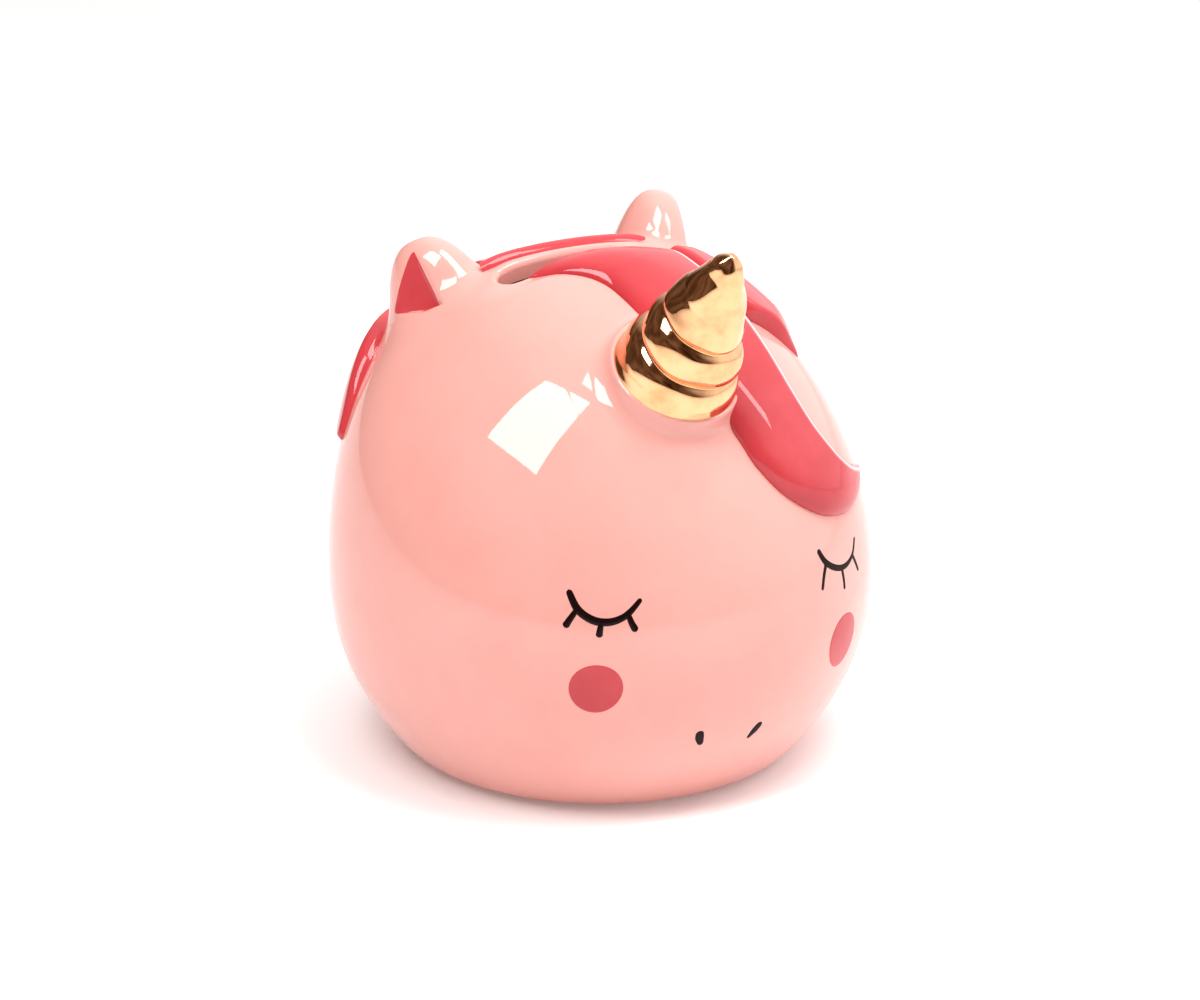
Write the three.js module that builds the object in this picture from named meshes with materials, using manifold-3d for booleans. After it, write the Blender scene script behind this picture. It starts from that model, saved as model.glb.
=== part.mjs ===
// Unicorn-head coin bank: a hollow slip-cast ceramic shell with ears, a gold horn and locks of
// hair luted on to it, and a soft rubber stopper in the underside.
// Millimetres, +Z up. The face looks along -Y, so +X is the animal's left. The origin is the
// centre of the foot, on the table.

import * as THREE from 'three';
import { mergeVertices } from 'three/addons/utils/BufferGeometryUtils.js';
import Module from 'manifold-3d';

const wasm = await Module();
wasm.setup();

// The head: a ball whose crown is taller than its belly, leaning back, with a sloping nape.
const GIRTH_R = 68;
const CROWN_H = 80;
const BELLY_H = 65;
const EQUATOR_Z = 44.5;
const AXIS_BLEND = 0.5;
const CROWN_LEAN = 15;
const LEAN_POWER = 1.5;
const NAPE_Z = 127.5;
const NAPE_SLOPE = 0.44;
const NAPE_ROUND = 10;
const FOOT_ROUND = 4;
const SKIN_COLUMNS = 48;
const SKIN_ROWS = 26;
const CHAMBER_COLUMNS = 28;
const CHAMBER_ROWS = 16;
const ROUND_SIDES = 40;

// The shell: wall, coin slot, and the recess and hole in the underside.
const WALL = 4.5;
const GAP = 0.3;
const CHAMBER_FLOOR_Z = 8.5;
const CHAMBER_ROUND = 6;
const RECESS_R = 36;
const RECESS_H = 3.5;
const HOLE_R = 13;
const HOLE_TOP_Z = 13.5;
const SLOT_LENGTH = 46;
const SLOT_WIDTH = 5.5;
const SLOT_Y = 9;
const SLOT_FROM_Z = 100;
const SLOT_TO_Z = 140;
const SLOT_LIP = 0.9;

// The horn: a soft twisted cone on a low collar of the shell.
const HORN_BASE = new THREE.Vector3(-1.2, -36, 103);
const HORN_TIP = new THREE.Vector3(0, -59.7, 138);
const HORN_LENGTH = HORN_BASE.distanceTo(HORN_TIP);
const HORN_R = 15.2;
const HORN_ROOT = 12;
const HORN_OVERSHOOT = 4.4;
const HORN_SWELL = 1.45;
const HORN_TIP_R = 3.4;
const HORN_SIDES = 28;
const HORN_ROWS = 30;
const TWIST_START = 8;
const TWIST_PITCH = 9.9;
const TWIST_TIGHTENING = 1900;
const TWIST_PHASE = 0.1;
const TWIST_DEPTH = 1.5;
const TWIST_ROUND = 0.6;
const TWIST_FADE = [-2, 5];
const COLLAR_R = 15.6;
const COLLAR_FOOT_R = 17.8;
const COLLAR_H = 1.2;
const COLLAR_SKIRT = 3;
const COLLAR_EDGE = 0.5;

// The ears: blunt flattened cones that face forward and outward.
const EAR_FACING = THREE.MathUtils.degToRad(60);
const EAR_WIDTH = 4.95;
const EAR_THICKNESS = 3.7;
const EAR_POWER = 0.385;
const EAR_LENGTH = 25;
const EAR_FLARE = 2;
const EAR_FLARE_DEPTHS = [7, 22];
const EAR_SIDES = 24;
const EAR_ROWS = 12;
const EARS = [
  { name: 'ear_right', side: -1, tip: [-34.2, 31.1, 124.8], root: [-28.2, 24.7, 104] },
  { name: 'ear_left', side: 1, tip: [33.8, 29.6, 128.9], root: [27.3, 24, 104] },
];
const HOLLOW_DEPTH = 1.3;
const HOLLOW_WIDTH = 15;
const HOLLOW_LENGTH = 15.3;
const HOLLOW_MIDDLE = 8.3;
const HOLLOW_REACH = 12;
const HOLLOW_TILT = THREE.MathUtils.degToRad(18);
const HOLLOW_TURN = THREE.MathUtils.degToRad(2);
const HOLLOW_ROLL = THREE.MathUtils.degToRad(10);

// The stopper: a flanged hollow plug of soft rubber.
const FLANGE_R = 16.5;
const FLANGE_H = 1.9;
const PLUG_R = HOLE_R - 0.4;
const PLUG_TOP_Z = 12;
const PLUG_WALL = 2.2;
const GRIP_LENGTH = 16;
const GRIP_WIDTH = 2.6;
const GRIP_H = 0.8;
const FLANGE_CLEARANCE = 0.4;
const FLANGE_EDGE = 0.6;
const PLUG_EDGE = 1.2;

// The hair: each lock is drawn by the points of its two edges, root first and tip last.
const HAIR_RELIEF = 3.6;
const HAIR_EDGE = 0.6;
const HAIR_BED = 0.45;
const LOCK_STRIPS = 7;
const LOCK_ROWS_PER_POINT = 1.5;
const FORELOCK = {
  name: 'forelock',
  front: [
    [-18, 8, 121], [-12.5, 0, 121], [-5.4, -8.6, 119.8], [-2.4, -18, 116], [1, -33, 106], [6, -44, 96],
    [9, -49.5, 89], [11.6, -53.3, 83], [18, -56.3, 75.7], [28.4, -55.5, 69], [38.5, -50.5, 66],
    [46.5, -43.5, 66], [52.5, -35.5, 68.5],
  ],
  back: [
    [20, 8, 120], [22.5, -5, 117.5], [24.5, -13, 114], [25.5, -20.5, 110.5], [27.5, -29.5, 104.5],
    [29.5, -38.5, 97], [32, -44, 90], [35, -46.5, 85], [38.5, -47, 80.5], [42, -45.5, 77.5],
    [45.5, -43, 75.5], [49.5, -39, 73.5], [53, -34, 71.5],
  ],
};
const SIDE_LOCK = {
  name: 'side_lock',
  front: [[20.6, 8, 120], [23.5, -5, 117.5], [26, -13, 114], [30, -18, 109], [36, -18, 105.5], [42.5, -18.5, 101.5],
    [48.6, -18.6, 96.8]],
  back: [[28, 8, 117], [35, 4, 114], [38, 1, 112], [41, -2, 109], [44.5, -6.5, 105], [47.5, -12, 101],
    [49.2, -17.6, 96.6]],
};
const MANE_OUTER = {
  name: 'mane_outer',
  front: [
    [24, 11, 119], [18, 26, 118], [21, 41, 110], [31, 45, 103], [40, 38, 101], [46, 33, 96],
    [51, 30.5, 89.5], [55, 28.5, 82], [58, 28, 75],
  ],
  back: [
    [13.6, 11, 122], [10.6, 26, 119], [13.6, 42, 110], [22, 52, 102], [31, 53.5, 94], [40, 50, 86],
    [47, 45, 80], [53, 38, 75], [58, 30.5, 72.5],
  ],
};
const MANE_INNER = {
  name: 'mane_inner',
  front: [[13, 11, 122], [10, 26, 119], [13, 42, 110], [21.5, 53, 102], [30, 55, 93], [35, 55, 84], [36, 56, 76],
    [34, 58, 69]],
  back: [[5.2, 11, 123], [5, 26, 120], [6, 42, 112], [9, 55, 102], [12, 60.5, 93], [17, 62, 84], [25, 61.5, 75],
    [32, 60, 67.5]],
};
const MANE_MIDDLE = {
  name: 'mane_middle',
  front: [[-4.6, 11, 123], [-4.4, 26, 120], [-5.4, 42, 112], [-8, 55, 102], [-10, 62, 92], [-7, 66, 84], [-1, 68, 77]],
  back: [[4.6, 11, 123], [4.4, 26, 120], [5.4, 42, 112], [8.4, 55, 102], [11, 61.5, 92], [9, 66, 83], [2, 68, 76]],
};

const skinGlaze = { color: '#f4aca3', roughness: 0.12, metalness: 0 };
const hairGlaze = { color: '#e0626b', roughness: 0.12, metalness: 0 };
const goldLustre = { color: '#d9a441', roughness: 0.15, metalness: 1 };
const softRubber = { color: '#e8e4df', roughness: 0.6, metalness: 0 };

const group = new THREE.Group();

function softMax(a, b, reach) {
  const share = THREE.MathUtils.clamp(0.5 + (a - b) / (2 * reach), 0, 1);
  return THREE.MathUtils.lerp(b, a, share) + reach * share * (1 - share);
}

function leanAt(height) {
  return CROWN_LEAN * Math.max(height / CROWN_H, 0) ** LEAN_POWER;
}

// The point of the head's outer face that lies in one direction from its centre, lifted off it.
function skinPoint(direction, lift = 0, floorZ = 0, floorRound = FOOT_ROUND) {
  const rise = direction.z;
  const upper = THREE.MathUtils.smoothstep(rise, -AXIS_BLEND, AXIS_BLEND);
  const semiAxis = THREE.MathUtils.lerp(BELLY_H, CROWN_H, upper);
  const run = Math.sqrt(Math.max(1 - rise * rise, 0));
  const radius = 1 / Math.hypot(run / GIRTH_R, rise / semiAxis) + lift;
  const height = radius * rise;
  const y = radius * direction.y + leanAt(height);
  const napeZ = NAPE_Z + lift - NAPE_SLOPE * y;
  const crownZ = -softMax(-EQUATOR_Z - height, -napeZ, NAPE_ROUND);
  return new THREE.Vector3(radius * direction.x, y, softMax(crownZ, floorZ, floorRound));
}

// The direction in which skinPoint finds a given point of the face.
function directionOf(point) {
  const height = point.z - EQUATOR_Z;
  return new THREE.Vector3(point.x, point.y - leanAt(height), height).normalize();
}

function toSolid(geometry) {
  const bare = geometry.clone();
  bare.deleteAttribute('normal');
  bare.deleteAttribute('uv');
  const merged = mergeVertices(bare, 1e-4);
  return new wasm.Manifold(new wasm.Mesh({
    numProp: 3,
    vertProperties: new Float32Array(merged.attributes.position.array),
    triVerts: new Uint32Array(merged.index.array),
  }));
}

function toGeometry(solid) {
  const mesh = solid.getMesh();
  const geometry = new THREE.BufferGeometry();
  geometry.setAttribute('position', new THREE.BufferAttribute(mesh.vertProperties, 3));
  geometry.setIndex(new THREE.BufferAttribute(mesh.triVerts, 1));
  return geometry;
}

function addPart(name, solid, glaze) {
  const geometry = toGeometry(solid);
  geometry.computeVertexNormals();
  const mesh = new THREE.Mesh(geometry, new THREE.MeshStandardMaterial(glaze));
  mesh.name = name;
  group.add(mesh);
}

// A closed body through a list of rings of points, with a flat strip across each end ring.
function loft(rings) {
  const count = rings[0].length;
  const positions = rings.flat().flatMap((point) => point.toArray());
  const faces = [];
  for (let ring = 0; ring + 1 < rings.length; ring += 1) {
    for (let step = 0; step < count; step += 1) {
      const a = ring * count + step;
      const b = ring * count + (step + 1) % count;
      faces.push(a, b, b + count, a, b + count, a + count);
    }
  }
  const last = (rings.length - 1) * count;
  for (let step = 0; step + 1 < count / 2; step += 1) {
    const a = step;
    const b = step + 1;
    const c = count - 2 - step;
    const d = count - 1 - step;
    faces.push(a, c, b, a, d, c);
    faces.push(last + a, last + b, last + c, last + a, last + c, last + d);
  }
  const geometry = new THREE.BufferGeometry();
  geometry.setAttribute('position', new THREE.Float32BufferAttribute(positions, 3));
  geometry.setIndex(faces);
  const solid = toSolid(geometry);
  if (solid.volume() > 0) {
    return solid;
  }
  geometry.setIndex(faces.reverse());
  return toSolid(geometry);
}

function headSolid(lift, columns, rows, floorZ, floorRound) {
  const geometry = new THREE.SphereGeometry(1, columns, rows);
  geometry.rotateX(Math.PI / 2);
  const positions = geometry.attributes.position;
  for (let index = 0; index < positions.count; index += 1) {
    const direction = new THREE.Vector3().fromBufferAttribute(positions, index).normalize();
    const point = skinPoint(direction, lift, floorZ, floorRound);
    positions.setXYZ(index, point.x, point.y, point.z);
  }
  return toSolid(geometry);
}

function uprightCylinder(radius, fromZ, toZ) {
  const geometry = new THREE.CylinderGeometry(radius, radius, toZ - fromZ, ROUND_SIDES);
  geometry.rotateX(Math.PI / 2);
  geometry.translate(0, 0, (fromZ + toZ) / 2);
  return toSolid(geometry);
}

// An upright post with a stadium-shaped section, along the line of the coin slot.
function slotPost(length, width) {
  const reach = (length - width) / 2;
  const outline = new THREE.Shape();
  outline.absarc(reach, 0, width / 2, -Math.PI / 2, Math.PI / 2);
  outline.absarc(-reach, 0, width / 2, Math.PI / 2, Math.PI * 1.5);
  const geometry = new THREE.ExtrudeGeometry(outline, {
    depth: SLOT_TO_Z - SLOT_FROM_Z,
    bevelEnabled: false,
    curveSegments: 8,
  });
  geometry.translate(0, SLOT_Y, SLOT_FROM_Z);
  return toSolid(geometry);
}

// Turns a body made around +Z so that it stands on the horn's axis, with z counted from its base.
function alongHorn(geometry) {
  const axis = HORN_TIP.clone().sub(HORN_BASE).normalize();
  const turn = new THREE.Quaternion().setFromUnitVectors(new THREE.Vector3(0, 0, 1), axis);
  geometry.applyQuaternion(turn);
  geometry.translate(HORN_BASE.x, HORN_BASE.y, HORN_BASE.z);
  return geometry;
}

function collarSolid(grow) {
  const profile = [
    new THREE.Vector2(0, -HORN_ROOT),
    new THREE.Vector2(COLLAR_FOOT_R + grow, -HORN_ROOT),
    new THREE.Vector2(COLLAR_FOOT_R + grow, -COLLAR_SKIRT),
    new THREE.Vector2((COLLAR_R + COLLAR_FOOT_R) / 2 + grow, -COLLAR_EDGE),
    new THREE.Vector2(COLLAR_R + grow, COLLAR_H - COLLAR_EDGE + grow),
    new THREE.Vector2(COLLAR_R - COLLAR_EDGE + grow, COLLAR_H + grow),
    new THREE.Vector2(0, COLLAR_H + grow),
  ];
  const geometry = new THREE.LatheGeometry(profile, ROUND_SIDES);
  geometry.rotateX(Math.PI / 2);
  return toSolid(alongHorn(geometry));
}

// The horn's radius at a height above its base: a cone with rounded bands wound round it.
function hornRadius(height, angle) {
  const along = Math.max(height, 0);
  const cone = HORN_R * (1 - (along / (HORN_LENGTH + HORN_OVERSHOOT)) ** HORN_SWELL);
  const past = Math.max(height - HORN_LENGTH + HORN_TIP_R, 0) / HORN_TIP_R;
  const cap = Math.sqrt(Math.max(1 - past * past, 0));
  const rise = height - TWIST_START;
  const turns = rise / TWIST_PITCH + Math.max(rise, 0) ** 2 / TWIST_TIGHTENING + TWIST_PHASE + angle / (2 * Math.PI);
  const phase = turns - Math.floor(turns);
  const bulge = Math.sin(Math.PI * phase) ** TWIST_ROUND;
  const fade = THREE.MathUtils.smoothstep(height, ...TWIST_FADE);
  return cap * (cone + TWIST_DEPTH * fade * (bulge - 0.5));
}

function hornSolid(grow) {
  const rings = [];
  for (let row = 0; row <= HORN_ROWS; row += 1) {
    const along = 1 - (1 - row / HORN_ROWS) ** 1.25;
    const height = THREE.MathUtils.lerp(COLLAR_H + GAP - grow, HORN_LENGTH - 0.05, along);
    const ring = [];
    for (let side = 0; side < HORN_SIDES; side += 1) {
      const angle = (side / HORN_SIDES) * Math.PI * 2;
      const radius = hornRadius(height, angle) + grow;
      ring.push(new THREE.Vector3(radius * Math.cos(angle), radius * Math.sin(angle), height));
    }
    rings.push(ring);
  }
  return loft(rings.map((ring) => alongHorn(new THREE.BufferGeometry().setFromPoints(ring))).map(pointsOf));
}

function pointsOf(geometry) {
  const positions = geometry.attributes.position;
  return Array.from({ length: positions.count }, (_, index) => (
    new THREE.Vector3().fromBufferAttribute(positions, index)
  ));
}

// Unit vectors of an ear: along its length, out of its hollow, and across it.
function earFrame(ear) {
  const tip = new THREE.Vector3(...ear.tip);
  const along = tip.clone().sub(new THREE.Vector3(...ear.root)).normalize();
  const facing = new THREE.Vector3(ear.side * Math.sin(EAR_FACING), -Math.cos(EAR_FACING), 0);
  facing.addScaledVector(along, -facing.dot(along)).normalize();
  const across = new THREE.Vector3().crossVectors(along, facing);
  return { tip, along, facing, across };
}

function earSolid(ear, grow) {
  const { tip, along, facing, across } = earFrame(ear);
  const rings = [];
  for (let row = EAR_ROWS; row >= 0; row -= 1) {
    const depth = 0.02 + EAR_LENGTH * (row / EAR_ROWS) ** 1.6;
    const flare = EAR_FLARE * THREE.MathUtils.smoothstep(depth, ...EAR_FLARE_DEPTHS);
    const halfWidth = EAR_WIDTH * depth ** EAR_POWER + flare + grow;
    const halfThickness = EAR_THICKNESS * depth ** EAR_POWER + flare + grow;
    const centre = tip.clone().addScaledVector(along, grow - depth);
    const ring = [];
    for (let side = 0; side < EAR_SIDES; side += 1) {
      const angle = (side / EAR_SIDES) * Math.PI * 2;
      ring.push(centre.clone()
        .addScaledVector(facing, halfThickness * Math.cos(angle))
        .addScaledVector(across, halfWidth * Math.sin(angle)));
    }
    rings.push(ring);
  }
  return loft(rings);
}

// The shallow three-cornered hollow in the face of an ear.
function earHollow(ear) {
  const { tip, along, facing, across } = earFrame(ear);
  const outward = facing.clone().multiplyScalar(Math.cos(HOLLOW_TURN));
  outward.addScaledVector(across, -ear.side * Math.sin(HOLLOW_TURN));
  const sideways = new THREE.Vector3().crossVectors(along, outward);
  const outline = new THREE.Shape([
    new THREE.Vector2(0, HOLLOW_LENGTH / 2),
    new THREE.Vector2(-HOLLOW_WIDTH / 2, -HOLLOW_LENGTH / 2),
    new THREE.Vector2(HOLLOW_WIDTH / 2, -HOLLOW_LENGTH / 2),
  ]);
  const geometry = new THREE.ExtrudeGeometry(outline, { depth: HOLLOW_REACH, bevelEnabled: false });
  geometry.rotateZ(ear.side * HOLLOW_ROLL);
  geometry.rotateX(-HOLLOW_TILT);
  geometry.translate(0, -HOLLOW_MIDDLE, EAR_THICKNESS * HOLLOW_MIDDLE ** EAR_POWER - HOLLOW_DEPTH);
  geometry.applyMatrix4(new THREE.Matrix4().makeBasis(sideways, along, outward));
  geometry.translate(tip.x, tip.y, tip.z);
  return toSolid(geometry);
}

// A lock of hair: a band of clay on the skin with a rounded back, thinning to its tip.
function lockSolid(lock, side, grow) {
  const rows = Math.round(LOCK_ROWS_PER_POINT * lock.front.length);
  const curves = [lock.front, lock.back].map((edge) => (
    new THREE.CatmullRomCurve3(edge.map(([x, y, z]) => new THREE.Vector3(side * x, y, z)))
  ));
  const rings = [];
  for (let row = 0; row <= rows; row += 1) {
    const along = row / rows;
    const front = curves[0].getPoint(along);
    const back = curves[1].getPoint(along);
    const outward = front.clone().sub(back).normalize().multiplyScalar(grow);
    front.add(outward);
    back.sub(outward);
    const relief = HAIR_RELIEF * Math.min(1, 4 * (1 - along)) ** 0.5;
    const top = [];
    const bed = [];
    for (let step = 0; step <= LOCK_STRIPS; step += 1) {
      const offset = -Math.cos((step / LOCK_STRIPS) * Math.PI);
      const aim = front.clone().lerp(back, (1 + offset) / 2);
      const direction = directionOf(aim);
      const crest = (1 - Math.abs(offset) ** 2.5) ** 0.6;
      top.push(skinPoint(direction, HAIR_BED + HAIR_EDGE + relief * crest + grow));
      bed.unshift(skinPoint(direction, HAIR_BED - grow));
    }
    rings.push([...top, ...bed]);
  }
  return loft(rings);
}

const skinCutter = headSolid(GAP, SKIN_COLUMNS, SKIN_ROWS, 0, FOOT_ROUND);
const hairGap = slotPost(SLOT_LENGTH + 3 * SLOT_LIP, SLOT_WIDTH + 2 * SLOT_LIP);
const ears = EARS.map((ear) => earSolid(ear, 0));
const hairCutters = [hairGap, collarSolid(GAP), hornSolid(GAP), ...EARS.map((ear) => earSolid(ear, GAP))];

function trimmedLock(lock, side, neighbours) {
  const cutters = [...hairCutters, ...neighbours.map(([other, otherSide]) => lockSolid(other, otherSide, GAP))];
  return cutters.reduce((solid, cutter) => solid.subtract(cutter), lockSolid(lock, side, 0));
}

function shellSolid() {
  const outside = headSolid(0, SKIN_COLUMNS, SKIN_ROWS, 0, FOOT_ROUND).add(collarSolid(0));
  const chamber = headSolid(-WALL, CHAMBER_COLUMNS, CHAMBER_ROWS, CHAMBER_FLOOR_Z, CHAMBER_ROUND);
  return outside
    .subtract(chamber)
    .subtract(slotPost(SLOT_LENGTH, SLOT_WIDTH))
    .subtract(uprightCylinder(RECESS_R, -1, RECESS_H))
    .subtract(uprightCylinder(HOLE_R, 0, HOLE_TOP_Z));
}

function stopperSolid() {
  const flangeTop = RECESS_H - FLANGE_CLEARANCE;
  const profile = [
    new THREE.Vector2(0, flangeTop - FLANGE_H),
    new THREE.Vector2(FLANGE_R - FLANGE_EDGE, flangeTop - FLANGE_H),
    new THREE.Vector2(FLANGE_R, flangeTop - FLANGE_H + FLANGE_EDGE),
    new THREE.Vector2(FLANGE_R, flangeTop),
    new THREE.Vector2(PLUG_R, flangeTop),
    new THREE.Vector2(PLUG_R, PLUG_TOP_Z - PLUG_EDGE),
    new THREE.Vector2(PLUG_R - PLUG_EDGE, PLUG_TOP_Z),
    new THREE.Vector2(PLUG_R - PLUG_WALL, PLUG_TOP_Z),
    new THREE.Vector2(PLUG_R - PLUG_WALL, flangeTop),
    new THREE.Vector2(0, flangeTop),
  ];
  const plug = new THREE.LatheGeometry(profile, ROUND_SIDES);
  plug.rotateX(Math.PI / 2);
  const grip = new THREE.BoxGeometry(GRIP_LENGTH, GRIP_WIDTH, 2 * GRIP_H);
  grip.translate(0, 0, flangeTop - FLANGE_H);
  return toSolid(plug).add(toSolid(grip));
}

addPart('body_shell', shellSolid(), skinGlaze);
EARS.forEach((ear, index) => {
  addPart(ear.name, ears[index].subtract(earHollow(ear)).subtract(skinCutter), skinGlaze);
});
addPart('horn', hornSolid(0), goldLustre);
addPart(FORELOCK.name, trimmedLock(FORELOCK, 1, []), hairGlaze);
addPart(SIDE_LOCK.name, trimmedLock(SIDE_LOCK, 1, [[FORELOCK, 1]]), hairGlaze);
addPart(MANE_MIDDLE.name, trimmedLock(MANE_MIDDLE, 1, []), hairGlaze);
for (const [sideName, side] of [['right', -1], ['left', 1]]) {
  const innerNeighbours = [[MANE_MIDDLE, 1]];
  const outerNeighbours = [[MANE_INNER, side]];
  addPart(`${MANE_INNER.name}_${sideName}`, trimmedLock(MANE_INNER, side, innerNeighbours), hairGlaze);
  addPart(`${MANE_OUTER.name}_${sideName}`, trimmedLock(MANE_OUTER, side, outerNeighbours), hairGlaze);
}
addPart('stopper', stopperSolid(), softRubber);

export default group;
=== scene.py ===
"""Looks of the unicorn-head coin bank: glazed skin, hair in relief, gold horn, painted face and stopper.

Lengths are in millimetres inside the shape code and become metres when a mesh is made. The face looks
along -Y, +X is the animal's left, and the origin is the centre of the foot, as in the frame.
"""

import math

import bmesh
import bpy
import numpy as np
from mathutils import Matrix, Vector


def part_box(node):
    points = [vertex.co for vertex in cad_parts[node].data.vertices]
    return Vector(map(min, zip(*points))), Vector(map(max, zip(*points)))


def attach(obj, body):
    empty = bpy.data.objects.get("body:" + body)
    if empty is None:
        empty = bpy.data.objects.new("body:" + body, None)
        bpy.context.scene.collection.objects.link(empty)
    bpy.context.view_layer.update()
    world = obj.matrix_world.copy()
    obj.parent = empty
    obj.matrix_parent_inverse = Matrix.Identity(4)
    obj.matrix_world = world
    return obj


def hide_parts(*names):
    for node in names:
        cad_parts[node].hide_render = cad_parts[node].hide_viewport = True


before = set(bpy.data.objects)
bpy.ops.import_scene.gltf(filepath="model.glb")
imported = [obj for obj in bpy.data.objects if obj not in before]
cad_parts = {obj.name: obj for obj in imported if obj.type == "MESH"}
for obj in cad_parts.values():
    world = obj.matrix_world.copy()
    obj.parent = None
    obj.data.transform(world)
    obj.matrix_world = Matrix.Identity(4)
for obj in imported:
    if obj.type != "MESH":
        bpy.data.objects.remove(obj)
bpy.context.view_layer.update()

MM = 0.001
# Keeps the closed ends of strokes and bars a hair wider than nothing.
ALMOST_ONE = 0.999
DETAIL = 1.0

# The head: a ball whose crown is taller than its belly, leaning back, with a sloping nape.
GIRTH_R = (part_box("body_shell")[1].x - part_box("body_shell")[0].x) / 2 / MM
CROWN_H = 80.0
BELLY_H = 65.0
EQUATOR_Z = 44.5
AXIS_BLEND = 0.5
CROWN_LEAN = 15.0
LEAN_POWER = 1.5
NAPE_Z = 127.5
NAPE_SLOPE = 0.44
NAPE_ROUND = 10.0
FOOT_ROUND = 2.5
CENTRE = np.array([0.0, 0.0, EQUATOR_Z])
SKIN_NEAR, SKIN_FAR = 20.0, 110.0
INSIDE_CROWN_Z = 90.0

# The shell's wall, coin slot and underside.
WALL = 4.5
CHAMBER_FLOOR_Z = 8.5
CHAMBER_ROUND = 5.0
CHAMBER_FLOOR_R = 28.0
SHOULDER = math.radians(50)
CROWN_ROWS_POWER = 1.15
FOOT_LAND = 2.5
RECESS_R = 36.0
RECESS_H = 3.5
RECESS_MIDDLE_R = 25.0
HOLE_R = 13.0
FLOOR_MIDDLE_R = 20.0
UNDERSIDE_EDGE = 0.9
SLOT_LENGTH = 46.0
SLOT_WIDTH = 5.5
SLOT_Y = 9.0
SLOT_LIP = 1.7
SLOT_RISE, SLOT_RISE_Y, SLOT_RISE_REACH = 2.2, 14.0, 4.5
SLOT_DIP, SLOT_DIP_Y, SLOT_DIP_REACH = 1.2, 4.5, 4.0
SLOT_VALLEY_END = (30, 17)
SHOWN_BY_SLOT = (8, 5.5)
TUCKED_BY_SLOT = (5.5, 3)
SLOT_TUCK = 1.5
SLOT_CLEARANCE = 1.0

# The horn, on a collar of skin.
HORN_BASE = np.array([-1.2, -36.0, 103.0])
HORN_TIP = np.array([0.0, -59.7, 138.0])
HORN_R = 15.2
HORN_TIP_R = 3.4
TWIST_START = 8.0
TWIST_PITCH = 9.9
TWIST_TIGHTENING = 1900.0
TWIST_PHASE = 0.1
TWIST_DEPTH = 1.9
GROOVE_WIDTH = 1.3
GROOVE_ROUND = 0.3
COLLAR_R = 16.1
COLLAR_H = 2.3
COLLAR_FILLET = 4.0
COLLAR_EDGE = 1.0
COLLAR_RIM = 25.0
COLLAR_DEPTH = 30.0
HORN_OVERSHOOT = 4.4
HORN_SWELL = 1.45
HORN_FULLNESS = 0.3
TWIST_FADE_IN = (2.5, 6.5)
TWIST_FADE_OUT = (19.5, 26)
TWIST_LOST = 0.9
# Each set of dents: its size, its waves once round, its turn in radians per mm up, and its start.
HORN_DENTS = [(0.16, 3, 0.31, 0.0), (0.12, 5, -0.55, 1.0)]
DENTS_FADE_IN = (1, 8)

# Under the ears and the collar the shell lies a little lower, so that only they show. The limits are
# shares of the way from the middle of an ear or of the collar to its rim.
COVER_DROP = 0.7
CROWN_FROM_Z = EQUATOR_Z + 30
COLLAR_DROPPED = (1, 0.88)
EAR_DROPPED = (0.93, 0.8)
EAR_SHOWN = (0.76, 0.93)
EAR_TUCKED = (0.95, 1)
PATCH_DEPTH = 2.0

# The ears: blunt flattened cones that face forward and outward. The fan lists, from the tip to the
# rim, how deep on the ear's axis a ray starts and how many degrees it leans off the axis.
EAR_FACING = math.radians(60)
EAR_WIDTH = 4.95
EAR_THICKNESS = 3.7
EAR_POWER = 0.385
EAR_FILLET = 5.0
EAR_SPREAD = (1.14, 0.86)
EAR_FAN = [(9, 0.5), (9, 30), (9, 60), (10, 84), (14, 90), (18, 80), (21, 70), (28, 52)]
EAR_RIM_TUCK = 0.2
EAR_STEEPNESS = 0.9
# Each ear: its side, its tip and the middle of its root.
EARS = {
    "ear_right": (-1, (-34.2, 31.1, 124.8), (-28.2, 24.7, 104)),
    "ear_left": (1, (33.8, 29.6, 128.9), (27.3, 24, 104)),
}
HOLLOW_DEPTH = 1.3
HOLLOW_WIDTH = 15.0
HOLLOW_LENGTH = 15.3
HOLLOW_MIDDLE = 8.3
HOLLOW_TILT = math.radians(18)
HOLLOW_TURN = math.radians(2)
HOLLOW_ROLL = math.radians(10)
HOLLOW_MARGIN = 0.2
HOLLOW_FLARE = 0.7
HOLLOW_FLARE_H = 4.0
HOLLOW_STEEPNESS = 0.8
HOLLOW_EDGE = 0.9
HOLLOW_PEAK_ROUND = 0.7
HOLLOW_FOOT_ROUND = 2.0
LINING_MARGIN = 0.25

# The hair: each lock is drawn by the points of its two edges, root first and tip last.
# The limits are in mm from the root. A pale line runs along a crest some bevels in from a lock's back
# edge: a painted highlight, which also stands for glaze running thin over the edge.
HAIR_RELIEF = 4.1
HAIR_SUNK = 0.5
HAIR_BED = 0.8
HAIR_END_BEVEL = 2.0
HAIR_PARTS = (10, 34)
HAIR_FRONT_CHANGES = (18, 48)
HAIR_ROOT_RISES = (2, 24)
HAIR_TIP_SHARE = 0.34
CREST_HIGHLIGHT_BEVELS = 1.4
CREST_HIGHLIGHT_REACH = 0.5
FORELOCK = (
    [(-18, 5.6, 121), (-12.5, -0.2, 121), (-5.4, -8.6, 119.8), (-2.4, -18, 116), (1, -33, 106),
     (6, -44, 96), (9, -49.5, 89), (11.6, -53.3, 83), (18, -56.3, 75.7), (28.4, -55.5, 69),
     (38.5, -50.5, 66), (46.5, -43.5, 66), (52.5, -35.5, 68.5)],
    [(20, 5.6, 120), (22.5, -5, 117.5), (24.5, -13, 114), (25.5, -20.5, 110.5), (27.5, -29.5, 104.5),
     (29.5, -38.5, 97), (32, -44, 90), (35, -46.5, 85), (38.5, -47, 80.5), (42, -45.5, 77.5),
     (45.5, -43, 75.5), (49.5, -39, 73.5), (53, -34, 71.5)],
)
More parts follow.
